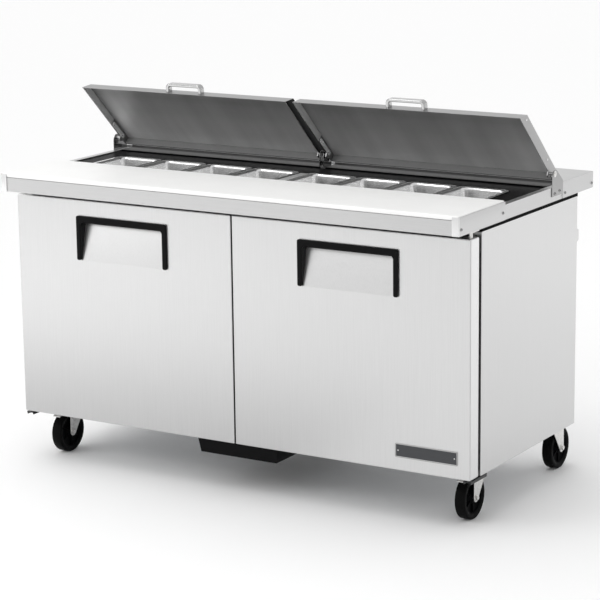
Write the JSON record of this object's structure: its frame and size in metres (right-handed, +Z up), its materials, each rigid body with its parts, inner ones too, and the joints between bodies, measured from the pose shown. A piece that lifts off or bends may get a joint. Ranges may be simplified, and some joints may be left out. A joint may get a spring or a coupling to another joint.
{
  "type": "sandwich prep table",
  "caption": "Refrigerated sandwich prep table on casters: hinged doors below, a cutting board in front and open hinged lids over a row of food pans.",
  "frame": {"origin": "on the floor under the middle of the top", "axes": "+X to the right seen from the front, -Y towards the front, +Z up"},
  "size_m": [1.534, 0.86, 1.1401],
  "materials": {
    "brushed_steel": "brushed sheet",
    "bright_steel": "bright sheet",
    "dark_liner": "satin, dark",
    "white_board": "satin",
    "black_plastic": "moulded, satin",
    "black_rubber": "matt",
    "zinc": "bright zinc plating on steel",
    "interior_liner": "pale coated sheet over foam",
    "coated_wire": "pale coating on steel wire",
    "fins": "finned block",
    "black_enamel": "black enamel"
  },
  "bodies": {
    "cabinet": {"side_panel_left": "brushed_steel", "side_panel_right": "brushed_steel", "top_frame": "brushed_steel", "rear_deck": "brushed_steel", "board_bracket_left": "brushed_steel", "board_bracket_right": "brushed_steel", "rear_bumper_left": "brushed_steel", "rear_bumper_right": "brushed_steel", "food_pan_1": "bright_steel", "food_pan_2": "bright_steel", "food_pan_3": "bright_steel", "food_pan_4": "bright_steel", "food_pan_5": "bright_steel", "food_pan_6": "bright_steel", "food_pan_7": "bright_steel", "food_pan_8": "bright_steel", "lid_bracket_left": "bright_steel", "lid_bracket_right": "bright_steel", "lid_bracket_centre": "bright_steel", "divider_bar": "dark_liner", "pan_collar": "black_plastic", "condensate_tray": "black_plastic", "hinge_top_left": "zinc", "hinge_top_right": "zinc", "hinge_bottom_left": "zinc", "hinge_bottom_right": "zinc", "cabinet_floor": "interior_liner", "back_panel": "interior_liner", "centre_mullion": "interior_liner", "evaporator_cover": "interior_liner", "shelf_left": "coated_wire", "shelf_right": "coated_wire", "condenser_coil": "fins", "compressor": "black_enamel", "rear_grille": "black_enamel"},
    "cutting_board": {"cutting_board": "white_board"},
    "condenser_fan": {"condenser_fan": "black_plastic"},
    "evaporator_fan": {"evaporator_fan": "black_plastic"},
    "door_left": {"door_left": "brushed_steel", "door_pull_left": "black_plastic", "gasket_left": "black_rubber"},
    "lid_left": {"lid_shell_left": "brushed_steel", "lid_liner_left": "dark_liner", "lid_handle_left": "bright_steel"},
    "door_right": {"door_right": "brushed_steel", "door_pull_right": "black_plastic", "gasket_right": "black_rubber"},
    "lid_right": {"lid_shell_right": "brushed_steel", "lid_liner_right": "dark_liner", "lid_handle_right": "bright_steel"},
    "swivel_front_left": {"caster_fork_front_left": "zinc"},
    "wheel_front_left": {"caster_wheel_front_left": "black_rubber"},
    "swivel_rear_left": {"caster_fork_rear_left": "zinc"},
    "wheel_rear_left": {"caster_wheel_rear_left": "black_rubber"},
    "swivel_front_right": {"caster_fork_front_right": "zinc"},
    "wheel_front_right": {"caster_wheel_front_right": "black_rubber"},
    "swivel_rear_right": {"caster_fork_rear_right": "zinc"},
    "wheel_rear_right": {"caster_wheel_rear_right": "black_rubber"},
    "pedal_front_left": {"brake_pedal_front_left": "zinc"},
    "pedal_front_right": {"brake_pedal_front_right": "zinc"}
  },
  "joints": [
    {"name": "door_left_hinge", "type": "hinge", "parent": "cabinet", "child": "door_left", "pos_m": [-0.752, -0.331, 0.4875], "axis": [0, 0, -1], "range_deg": [0, 100]},
    {"name": "door_right_hinge", "type": "hinge", "parent": "cabinet", "child": "door_right", "pos_m": [0.752, -0.331, 0.4875], "axis": [0, 0, 1], "range_deg": [0, 100]},
    {"name": "lid_left_hinge", "type": "hinge", "parent": "cabinet", "child": "lid_left", "pos_m": [-0.381, 0.162, 0.925], "axis": [-1, 0, 0], "range_deg": [-51, 0]},
    {"name": "lid_right_hinge", "type": "hinge", "parent": "cabinet", "child": "lid_right", "pos_m": [0.381, 0.162, 0.925], "axis": [-1, 0, 0], "range_deg": [-51, 0]},
    {"name": "board_lift", "type": "slide", "parent": "cabinet", "child": "cutting_board", "axis": [0, 0, 1], "range_m": [0, 0.08]},
    {"name": "swivel_front_left_turn", "type": "hinge", "parent": "cabinet", "child": "swivel_front_left", "pos_m": [-0.7, -0.197, 0.141], "axis": [0, 0, 1], "continuous": true},
    {"name": "wheel_front_left_roll", "type": "hinge", "parent": "swivel_front_left", "child": "wheel_front_left", "pos_m": [-0.7, -0.231, 0.0635], "axis": [1, 0, 0], "continuous": true},
    {"name": "swivel_rear_left_turn", "type": "hinge", "parent": "cabinet", "child": "swivel_rear_left", "pos_m": [-0.7, 0.3, 0.141], "axis": [0, 0, 1], "continuous": true},
    {"name": "wheel_rear_left_roll", "type": "hinge", "parent": "swivel_rear_left", "child": "wheel_rear_left", "pos_m": [-0.7, 0.334, 0.0635], "axis": [1, 0, 0], "continuous": true},
    {"name": "swivel_front_right_turn", "type": "hinge", "parent": "cabinet", "child": "swivel_front_right", "pos_m": [0.7, -0.197, 0.141], "axis": [0, 0, 1], "continuous": true},
    {"name": "wheel_front_right_roll", "type": "hinge", "parent": "swivel_front_right", "child": "wheel_front_right", "pos_m": [0.7, -0.231, 0.0635], "axis": [1, 0, 0], "continuous": true},
    {"name": "swivel_rear_right_turn", "type": "hinge", "parent": "cabinet", "child": "swivel_rear_right", "pos_m": [0.7, 0.3, 0.141], "axis": [0, 0, 1], "continuous": true},
    {"name": "wheel_rear_right_roll", "type": "hinge", "parent": "swivel_rear_right", "child": "wheel_rear_right", "pos_m": [0.7, 0.334, 0.0635], "axis": [1, 0, 0], "continuous": true},
    {"name": "pedal_front_left_press", "type": "hinge", "parent": "swivel_front_left", "child": "pedal_front_left", "pos_m": [-0.7, -0.261, 0.131], "axis": [1, 0, 0], "range_deg": [0, 15]},
    {"name": "pedal_front_right_press", "type": "hinge", "parent": "swivel_front_right", "child": "pedal_front_right", "pos_m": [0.7, -0.261, 0.131], "axis": [1, 0, 0], "range_deg": [0, 15]},
    {"name": "condenser_fan_spin", "type": "hinge", "parent": "cabinet", "child": "condenser_fan", "pos_m": [0.187, 0.2265, 0.2673], "axis": [1, 0, 0], "continuous": true},
    {"name": "evaporator_fan_spin", "type": "hinge", "parent": "cabinet", "child": "evaporator_fan", "pos_m": [0, 0.1877, 0.6849], "axis": [0, 1, 0], "continuous": true}
  ]
}
